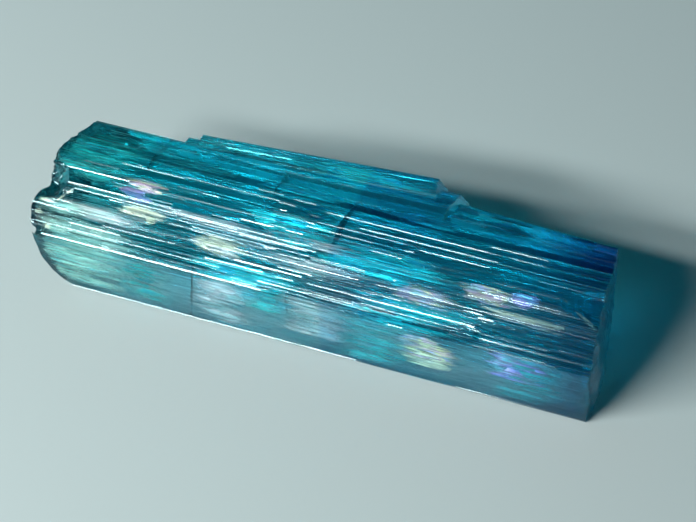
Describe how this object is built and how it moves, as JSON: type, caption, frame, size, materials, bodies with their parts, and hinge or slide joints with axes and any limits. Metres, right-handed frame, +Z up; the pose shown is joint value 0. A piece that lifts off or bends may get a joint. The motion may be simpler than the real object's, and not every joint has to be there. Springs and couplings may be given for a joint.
{
  "type": "tourmaline crystal",
  "caption": "Natural blue-green tourmaline crystal, a clear striated prism lying on its side, broken at both ends, with a raised growth ledge along the upper rear edge.",
  "frame": {"origin": "middle of the crystal's footprint on the surface it rests on", "axes": "+X along the crystal's long c axis, from the green end to the blue end; +Y towards the rear with the growth ledge; +Z up"},
  "size_m": [0.026, 0.0072, 0.0055],
  "materials": {
    "tourmaline": "glossy"
  },
  "bodies": {
    "root": {"crystal": "tourmaline"}
  },
  "joints": []
}
